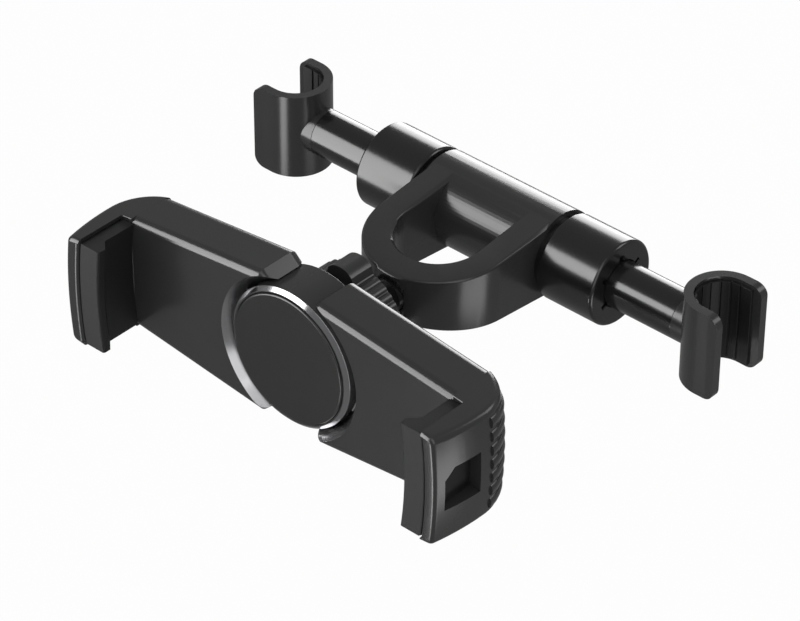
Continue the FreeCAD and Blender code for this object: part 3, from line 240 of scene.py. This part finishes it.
def make_grain_group():
    """Colour and roughness with faint clouds in them, and the height of a fine grain."""
    group, inside, outside = new_group(
        "moulded_grain",
        [
            ("Colour", "NodeSocketColor", (0.03, 0.03, 0.03, 1)),
            ("Roughness", "NodeSocketFloat", 0.4),
            ("Grain Size", "NodeSocketFloat", 0.25),
            ("Cloud Size", "NodeSocketFloat", CLOUD_SIZE),
            ("Cloud Share", "NodeSocketFloat", CLOUD_SHARE),
        ],
        [
            ("Colour", "NodeSocketColor"),
            ("Roughness", "NodeSocketFloat"),
            ("Height", "NodeSocketFloat"),
        ],
    )
    link = group.links.new
    place = add_node(group, "ShaderNodeTexCoord")

    def noise_at(size_socket, detail):
        """Noise whose grains are about as many millimetres wide as the socket says."""
        scale = add_node(group, "ShaderNodeMath", {0: 1 / MM}, operation="DIVIDE")
        link(inside.outputs[size_socket], scale.inputs[1])
        values = {"Detail": detail, "Roughness": NOISE_ROUGHNESS}
        noise = add_node(group, "ShaderNodeTexNoise", values)
        link(place.outputs["Object"], noise.inputs["Vector"])
        link(scale.outputs[0], noise.inputs["Scale"])
        return noise.outputs[0]

    grain = noise_at("Grain Size", GRAIN_DETAIL)
    cloud = noise_at("Cloud Size", CLOUD_DETAIL)
    centred = add_node(group, "ShaderNodeMath", {1: 0.5}, operation="SUBTRACT")
    link(cloud, centred.inputs[0])
    share = add_node(group, "ShaderNodeMath", operation="MULTIPLY")
    link(centred.outputs[0], share.inputs[0])
    link(inside.outputs["Cloud Share"], share.inputs[1])
    factor = add_node(group, "ShaderNodeMath", {1: 1.0}, operation="ADD")
    link(share.outputs[0], factor.inputs[0])
    rough = add_node(group, "ShaderNodeMath", operation="MULTIPLY")
    link(inside.outputs["Roughness"], rough.inputs[0])
    link(factor.outputs[0], rough.inputs[1])
    tint = add_node(group, "ShaderNodeVectorMath", operation="SCALE")
    link(inside.outputs["Colour"], tint.inputs[0])
    link(factor.outputs[0], tint.inputs["Scale"])
    link(tint.outputs[0], outside.inputs["Colour"])
    link(rough.outputs[0], outside.inputs["Roughness"])
    link(grain, outside.inputs["Height"])
    return group


moulded_grain = make_grain_group()


def moulded(name, colour, roughness, relief, grain_size=0.25, **shader_values):
    """A finish with the shared grain. Grain size and relief are in millimetres.

    Other values go to the shader's input of that name, as in Metallic=1.0.
    """
    material, tree, shader = new_material(name)
    group = add_node(tree, "ShaderNodeGroup", node_tree=moulded_grain)
    group.inputs["Colour"].default_value = (*colour, 1)
    group.inputs["Roughness"].default_value = roughness
    group.inputs["Grain Size"].default_value = grain_size
    group.inputs["Cloud Share"].default_value = CLOUD_SHARE
    bump = add_node(tree, "ShaderNodeBump", {"Strength": 1.0, "Distance": relief * MM})
    tree.links.new(group.outputs["Colour"], shader.inputs["Base Color"])
    tree.links.new(group.outputs["Roughness"], shader.inputs["Roughness"])
    tree.links.new(group.outputs["Height"], bump.inputs["Height"])
    tree.links.new(bump.outputs[0], shader.inputs["Normal"])
    for socket, value in shader_values.items():
        shader.inputs[socket.replace("_", " ")].default_value = value
    return material


# %% [markdown]
# ## One finish for each kind of piece
# The cradle and the fork are the same satin plastic, which is what any kind gets that the table
# doesn't name. The bar's round pieces are smoother, so their streaks are narrower. The ring round
# the disc is bright metal, and the pads are dull.

# %% Name the finishes
# name: colour, roughness, relief, other values
FINISHES = {
    "satin_plastic": ((0.028, 0.028, 0.028), 0.22, 0.002, {"grain_size": 0.4}),
    "smooth_sleeve": ((0.009, 0.009, 0.009), 0.2, 0.002, {"Specular_IOR_Level": 0.6}),
    "painted_rod": ((0.009, 0.009, 0.009), 0.18, 0.002, {"Specular_IOR_Level": 0.6}),
    "soft_rubber": ((0.008, 0.008, 0.008), 0.55, 0.01, {"Specular_IOR_Level": 0.3}),
    "face_film": ((0.014, 0.014, 0.014), 0.24, 0.003, {}),
    "bright_metal": ((0.34, 0.34, 0.35), 0.14, 0.001, {"Metallic": 1.0}),
    "cut_rim": ((0.42, 0.42, 0.43), 0.24, 0.002, {"Metallic": 1.0}),
    "ribbed_nut": ((0.02, 0.02, 0.02), 0.28, 0.003, {"Specular_IOR_Level": 0.7}),
    "plain_steel": ((0.45, 0.45, 0.46), 0.3, 0.004, {"Metallic": 1.0}),
    "pale_plastic": ((0.62, 0.62, 0.6), 0.4, 0.02, {}),
}
finishes = {
    name: moulded(name, colour, roughness, relief, **others)
    for name, (colour, roughness, relief, others) in FINISHES.items()
}
KINDS_WITH = {
    "smooth_sleeve": ("collar", "centre_tube"),
    "painted_rod": ("rod", "ball_stud"),
    "soft_rubber": ("hook_liner", "pad"),
    "face_film": ("front_disc",),
    "bright_metal": ("trim_ring",),
    "ribbed_nut": ("lock_nut",),
    "plain_steel": (
        "rod_spring", "rod_stop", "hook_screw", "stud_screw", "cover_screws", "rack_screw",
        "jaw_screws",
    ),
    "pale_plastic": (
        "centre_stop", "guide_bush", "ball_liner", "socket_liner", "rack", "pinion",
    ),
}
FINISH_OF = {kind: finish for finish, kinds in KINDS_WITH.items() for kind in kinds}


def kind_of(name):
    """A node's name without its side, such as collar."""
    return name.removeprefix("right_").removeprefix("left_")


for name, node in nodes.items():
    finish = finishes[FINISH_OF.get(kind_of(name), "satin_plastic")]
    node.data.materials.clear()
    node.data.materials.append(finish)
print(len(finishes), "finishes")

# %% [markdown]
# ## Soft edges
# No moulded edge is sharp. A narrow round on each edge catches a thin line of light, which is what
# shows the form of a black object. A solid's own mesh is loose triangles and is left alone, so each
# piece here is a copy. Its corners are merged, its flat faces are joined again, and the edges that
# turn by more than 35 degrees are rounded. A Weighted Normal modifier then keeps the large faces
# flat in the shading, so that only the rounds bend the light.

# %% Copy a solid with merged corners
MERGE_DISTANCE, FLAT_ANGLE = 0.002, 0.4
SHARP_ANGLE, SHADED_FLAT_ANGLE = 35, 30
BODY_OF = {
    node: body
    for body, names in frame["record"]["behaviour"]["bodies"].items()
    for node in names
}


def welded(name, flatten=True):
    """A bmesh copy of a solid with its corners merged and, if asked, its flat faces joined."""
    shape = bmesh.new()
    shape.from_mesh(nodes[name].data)
    bmesh.ops.remove_doubles(shape, verts=shape.verts, dist=MERGE_DISTANCE * MM)
    if flatten:
        bmesh.ops.dissolve_limit(
            shape, angle_limit=math.radians(FLAT_ANGLE), verts=shape.verts, edges=shape.edges,
            use_dissolve_boundaries=False,
        )
    return shape


def sharp_edges(shape):
    """The edges between two faces that turn by more than the sharp angle."""
    limit = math.radians(SHARP_ANGLE)
    return [
        edge for edge in shape.edges
        if len(edge.link_faces) == 2 and edge.calc_face_angle() > limit
    ]


def round_edges(shape, edges, width, segments=2, clamp=True):
    """Round some edges of a shape; width is in millimetres."""
    if edges:
        bmesh.ops.bevel(
            shape, geom=edges, offset=width * MM, offset_type="OFFSET", segments=segments,
            profile=0.5, affect="EDGES", clamp_overlap=clamp,
        )


def plain_mesh(piece):
    """Put what a piece's modifiers make into its own mesh, and take them off."""
    graph = bpy.context.evaluated_depsgraph_get()
    mesh = bpy.data.meshes.new_from_object(piece.evaluated_get(graph), depsgraph=graph)
    piece.modifiers.clear()
    piece.data = mesh
    return piece


def as_piece(shape, name, node):
    """Turn a bmesh into a piece that rides with a solid's body and stands for the solid."""
    mesh = bpy.data.meshes.new(name)
    bmesh.ops.triangulate(shape, faces=[face for face in shape.faces if len(face.verts) > 4])
    shape.to_mesh(mesh)
    shape.free()
    mesh.shade_smooth()
    mesh.set_sharp_from_angle(angle=math.radians(SHADED_FLAT_ANGLE))
    mesh.materials.append(nodes[node].data.materials[0])
    piece = bpy.data.objects.new(name, mesh)
    bpy.context.scene.collection.objects.link(piece)
    weigh = piece.modifiers.new("weigh", "WEIGHTED_NORMAL")
    weigh.keep_sharp = True
    plain_mesh(piece)
    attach(piece, BODY_OF[node])
    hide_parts(node)
    return piece


# %% [markdown]
# ## Which edges get which round
# Most edges have one small round for each kind of piece. The fork keeps its crisp chamfer. The
# jaw's inner rim is a full round up its front end, and the pad's back edge is cut well away from
# it, which leaves the dark line between the two. Both follow the jaw's bow, an arc about an axis
# beyond the hub, so their edges are found by how far they lie from that axis. The trim ring gets a
# broader slope before its edges are rounded.

# %% Round the edges
EDGE_ROUND = {
    "hook": 0.5, "hook_liner": 0.12, "yoke": 0, "shell": 0.4, "jaw": 0.3, "pad": 0.45,
    "collar": 0.25, "hub_housing": 0.2, "rod": 0.2, "trim_ring": 0.1, "front_disc": 0.15,
}
BOW_AXIS_X, BOW_TOLERANCE = -61.2, 0.1
END_TOLERANCE, SIDE_HEIGHT = 0.02, 12
# kind: x of its rim at mid-height, y of its front end, whether its sides count, round, segments
RIMS = {
    "jaw": (58.9, -96, False, 1.1, 4),
    "pad": (58.78, -95.4, True, 0.7, 2),
}
RING_LIP_RADIUS, RING_SLOPE_DEPTH = 18.85, 0.93
RING_FRONT_BAND, RING_SLOPE_BAND = 0.1, 0.7


def on_rim(edge, across, front, sides):
    """Whether an edge is on the rim that bows across one x: up its front end or along a side."""
    places = []
    for vert in edge.verts:
        x, y, z = abs(vert.co.x) / MM, vert.co.y / MM, abs(vert.co.z) / MM
        if abs(BOW_AXIS_X + math.hypot(x - BOW_AXIS_X, z) - across) > BOW_TOLERANCE:
            return False
        places.append((y, z))
    up_front = all(y < front + END_TOLERANCE for y, z in places)
    along_side = sides and all(z > SIDE_HEIGHT for y, z in places)
    return up_front or along_side


def widen_slope(shape):
    """Broaden the trim ring's sloped side, from its narrow front lip to its back edge."""
    front = min(vert.co.y for vert in shape.verts)
    for vert in shape.verts:
        reach = math.hypot(vert.co.x, vert.co.z)
        in_front = vert.co.y < front + RING_FRONT_BAND * MM
        if not in_front and vert.co.y < front + RING_SLOPE_BAND * MM:
            vert.co.y = front + RING_SLOPE_DEPTH * MM
        elif in_front and reach > RING_LIP_RADIUS * MM:
            vert.co.x *= RING_LIP_RADIUS * MM / reach
            vert.co.z *= RING_LIP_RADIUS * MM / reach


def soften(name, kind):
    """The piece that stands for a solid, with its edges rounded."""
    shape = welded(name, flatten=kind != "yoke")
    if kind == "trim_ring":
        widen_slope(shape)
    if kind in RIMS:
        across, front, sides, width, segments = RIMS[kind]
        rim = [edge for edge in sharp_edges(shape) if on_rim(edge, across, front, sides)]
        round_edges(shape, rim, width, segments, clamp=False)
        print(f"{name}: {len(rim)} rim edges")
    if EDGE_ROUND[kind]:
        round_edges(shape, sharp_edges(shape), EDGE_ROUND[kind])
    return as_piece(shape, f"{name}_soft", name)


soft = {}
for name in list(nodes):
    if kind_of(name) in EDGE_ROUND:
        soft[name] = soften(name, kind_of(name))
        print(f"{soft[name].name}: {len(soft[name].data.polygons)} faces")

# %% [markdown]
# ## Two finishes on one piece
# Each half of the cradle ends in a sloped rim that leaves room for the hub to turn, and that rim
# is bright. It is part of the half, so it gets a second material slot on the same mesh rather than
# a piece of its own. Its faces are found by their distance from the hub's axis and their tilt. The
# trim ring is the other way round: its slope is bright, and the narrow lip at its front is dark.

# %% Give rims and lip their finish
MOAT_INNER, MOAT_OUTER = 20, 23.2
RIM_FACING_IN, RIM_FACING_FRONT, LIP_FACING_FRONT = 0.6, 0.4, 0.8


def in_moat(face):
    """Whether a face is on the sloped rim round the hub."""
    reach = math.hypot(face.center.x, face.center.z)
    inward = -(face.normal.x * face.center.x + face.normal.z * face.center.z) / reach
    near = MOAT_INNER * MM < reach < MOAT_OUTER * MM
    return near and inward > RIM_FACING_IN and face.normal.y < -RIM_FACING_FRONT


def on_lip(face):
    """Whether a face of the trim ring faces forward."""
    return face.normal.y < -LIP_FACING_FRONT


def give_finish(name, finish, chosen):
    """Give the chosen faces of a soft piece a second finish."""
    mesh = soft[name].data
    mesh.materials.append(finishes[finish])
    faces = [face for face in mesh.polygons if chosen(face)]
    for face in faces:
        face.material_index = 1
    print(f"{name}: {len(faces)} faces in {finish}")


give_finish("right_shell", "cut_rim", in_moat)
give_finish("left_shell", "cut_rim", in_moat)
give_finish("trim_ring", "face_film", on_lip)

# %% [markdown]
# ## Ribs made with Geometry Nodes
# Fingers hold the jaws at seven rounded ridges and the nut at fine ribs. Each could be modelled
# once and copied by hand. A node tree makes one rib and sets copies of it round an axis, so the
# number, the spacing and the size stay open to change. One tree serves both places: a rib follows
# an arc, and its copies turn about the axis of the jaw's bow or about the nut's own axis.

# %% Build the rib tree
RIB_INPUTS = [
    ("Count", "NodeSocketInt", 7),
    ("Step", "NodeSocketFloat", 0.03),
    ("Axis Place", "NodeSocketVector", (0, 0, 0)),
    ("Rib Place", "NodeSocketVector", (0, 0, 0)),
    ("Radius", "NodeSocketFloat", 0.01),
    ("Start", "NodeSocketFloat", 0.2),
    ("Sweep", "NodeSocketFloat", 1.0),
    ("Height", "NodeSocketFloat", 0.001),
    ("Width", "NodeSocketFloat", 0.003),
    ("Turn", "NodeSocketFloat", 0.0),
    ("Material", "NodeSocketMaterial", None),
]
ARC_POINTS, OVAL_POINTS = 28, 16
# a rib thins out towards its ends: at a distance d from its middle, where its ends are at 1, its
# section is scaled by the square root of END_SHARE - d ** END_POWER
END_POWER, END_SHARE = 4, 1.01


def make_rib_tree():
    """Geometry nodes for ribs on an arc, set round an axis along Y. Lengths are in metres."""
    tree = bpy.data.node_groups.new("ribs_round_axis", "GeometryNodeTree")
    for label, kind, value in RIB_INPUTS:
        socket = tree.interface.new_socket(label, in_out="INPUT", socket_type=kind)
        if value is not None:
            socket.default_value = value
    tree.interface.new_socket("Geometry", in_out="OUTPUT", socket_type="NodeSocketGeometry")
    inside, outside = tree.nodes.new("NodeGroupInput"), tree.nodes.new("NodeGroupOutput")
    link = tree.links.new

    def math_node(operation, *values):
        """What an operation makes of one or two values, each a socket or a number."""
        node = add_node(tree, "ShaderNodeMath", operation=operation)
        for socket, value in zip(node.inputs, values):
            if isinstance(value, bpy.types.NodeSocket):
                link(value, socket)
            else:
                socket.default_value = value
        return node.outputs[0]

    # one rib: a flat oval section that follows an arc and thins out at both ends
    arc = add_node(tree, "GeometryNodeCurveArc", {"Resolution": ARC_POINTS}, mode="RADIUS")
    link(inside.outputs["Radius"], arc.inputs["Radius"])
    link(inside.outputs["Start"], arc.inputs["Start Angle"])
    link(inside.outputs["Sweep"], arc.inputs["Sweep Angle"])
    upright = add_node(tree, "GeometryNodeSetCurveNormal", mode="Z_UP")
    link(arc.outputs["Curve"], upright.inputs["Curve"])
    along = add_node(tree, "GeometryNodeSplineParameter")
    middle = math_node("SUBTRACT", along.outputs["Factor"], 0.5)
    distance = math_node("ABSOLUTE", math_node("MULTIPLY", middle, 2.0))
    kept = math_node("SUBTRACT", END_SHARE, math_node("POWER", distance, END_POWER))
    thinned = add_node(tree, "GeometryNodeSetCurveRadius")
    link(upright.outputs[0], thinned.inputs["Curve"])
    link(math_node("SQRT", kept), thinned.inputs["Radius"])
    round_values = {"Resolution": OVAL_POINTS, "Radius": 1.0}
    oval = add_node(tree, "GeometryNodeCurvePrimitiveCircle", round_values)
    section = add_node(tree, "GeometryNodeTransform")
    size = add_node(tree, "ShaderNodeCombineXYZ", {"Z": 1.0})
    link(inside.outputs["Height"], size.inputs["X"])
    link(math_node("MULTIPLY", inside.outputs["Width"], 0.5), size.inputs["Y"])
    link(oval.outputs["Curve"], section.inputs["Geometry"])
    link(size.outputs[0], section.inputs["Scale"])
    rib = add_node(tree, "GeometryNodeCurveToMesh", {"Fill Caps": True})
    link(thinned.outputs[0], rib.inputs["Curve"])
    link(section.outputs[0], rib.inputs["Profile Curve"])
    placed = add_node(tree, "GeometryNodeTransform")
    link(rib.outputs[0], placed.inputs["Geometry"])
    link(inside.outputs["Rib Place"], placed.inputs["Translation"])
    # its copies, each turned one step further about the axis
    spots = add_node(tree, "GeometryNodeMeshLine")
    link(inside.outputs["Count"], spots.inputs["Count"])
    spots.inputs["Offset"].default_value = (0, 0, 0)
    index = add_node(tree, "GeometryNodeInputIndex")
    last = math_node("SUBTRACT", inside.outputs["Count"], 1.0)
    steps = math_node("SUBTRACT", index.outputs[0], math_node("MULTIPLY", last, 0.5))
    turn = add_node(tree, "ShaderNodeCombineXYZ")
    link(math_node("MULTIPLY", steps, inside.outputs["Step"]), turn.inputs["Y"])
    copies = add_node(tree, "GeometryNodeInstanceOnPoints")
    link(spots.outputs[0], copies.inputs["Points"])
    link(placed.outputs[0], copies.inputs["Instance"])
    link(turn.outputs[0], copies.inputs["Rotation"])
    moved = add_node(tree, "GeometryNodeTransform")
    link(copies.outputs[0], moved.inputs["Geometry"])
    link(inside.outputs["Axis Place"], moved.inputs["Translation"])
    # all of them turned about the Y axis, in one mesh with its finish
    whole_turn = add_node(tree, "ShaderNodeCombineXYZ")
    link(inside.outputs["Turn"], whole_turn.inputs["Y"])
    turned = add_node(tree, "GeometryNodeTransform")
    link(moved.outputs[0], turned.inputs["Geometry"])
    link(whole_turn.outputs[0], turned.inputs["Rotation"])
    real = add_node(tree, "GeometryNodeRealizeInstances")
    link(turned.outputs[0], real.inputs[0])
    finish = add_node(tree, "GeometryNodeSetMaterial")
    link(real.outputs[0], finish.inputs["Geometry"])
    link(inside.outputs["Material"], finish.inputs["Material"])
    link(finish.outputs[0], outside.inputs[0])
    return tree


rib_tree = make_rib_tree()


def add_ribs(name, body, values):
    """A piece made by the rib tree; each value is given by its input's name."""
    piece = bpy.data.objects.new(name, bpy.data.meshes.new(name))
    bpy.context.scene.collection.objects.link(piece)
    ribs = piece.modifiers.new("ribs", "NODES")
    ribs.node_group = rib_tree
    for item in rib_tree.interface.items_tree:
        if item.in_out == "INPUT":
            ribs[item.identifier] = values[item.name]
    plain_mesh(piece)
    piece.data.shade_smooth()
    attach(piece, body)
    print(f"{name}: {len(piece.data.polygons)} faces")


# %% [markdown]
# ## Ridges on the jaws
# The ridges bulge from the jaw's round outer corner. They are sunk a little, so that their ends
# run into the jaw. The left jaw is the right one turned half a turn about the hub's axis, so the
# same values serve for both.

# %% Add the grip ridges
CORNER_X, CORNER_Y, CORNER_RADIUS = 51.4, -79.0, 13.4
BOW_RADIUS = 126
RIDGE_COUNT, RIDGE_PITCH, RIDGE_SUNK = 7, 4.1, 0.45
RIDGE_HEIGHT, RIDGE_WIDTH = 1.15, 3.5
RIDGE_START, RIDGE_SWEEP = 5, 70
for side, turn in (("right", 0.0), ("left", math.pi)):
    add_ribs(f"{side}_grip_ridges", BODY_OF[f"{side}_jaw"], {
        "Count": RIDGE_COUNT,
        "Step": RIDGE_PITCH / BOW_RADIUS,
        "Axis Place": (BOW_AXIS_X * MM, 0.0, 0.0),
        "Rib Place": ((CORNER_X - BOW_AXIS_X) * MM, CORNER_Y * MM, 0.0),
        "Radius": (CORNER_RADIUS - RIDGE_SUNK) * MM,
        "Start": math.radians(RIDGE_START),
        "Sweep": math.radians(RIDGE_SWEEP),
        "Height": RIDGE_HEIGHT * MM,
        "Width": RIDGE_WIDTH * MM,
        "Turn": turn,
        "Material": finishes["satin_plastic"],
    })

# %% [markdown]
# ## Ribs on the lock nut
# The nut has 36 rounded ribs with four lobes among them. The same tree makes them: a rib's arc is
# so wide that it is almost straight, and it lies along the nut's axis. The ribs that fall on a
# lobe are inside it.

# %% Add the nut's ribs
NUT_RADIUS, NUT_MIDDLE_Y = 14.8, -57.7
NUT_RIBS, NUT_RIB_SUNK = 36, 0.3
NUT_RIB_HEIGHT, NUT_RIB_WIDTH, NUT_RIB_LENGTH = 0.7, 2.4, 7.2
NEARLY_STRAIGHT = 200
rib_sweep = NUT_RIB_LENGTH / NEARLY_STRAIGHT
add_ribs("nut_ribs", BODY_OF["lock_nut"], {
    "Count": NUT_RIBS,
    "Step": 2 * math.pi / NUT_RIBS,
    "Axis Place": (0.0, 0.0, 0.0),
    "Rib Place": ((NUT_RADIUS - NUT_RIB_SUNK - NEARLY_STRAIGHT) * MM, NUT_MIDDLE_Y * MM, 0.0),
    "Radius": NEARLY_STRAIGHT * MM,
    "Start": -rib_sweep / 2,
    "Sweep": rib_sweep,
    "Height": NUT_RIB_HEIGHT * MM,
    "Width": NUT_RIB_WIDTH * MM,
    "Turn": 0.0,
    "Material": finishes["ribbed_nut"],
})
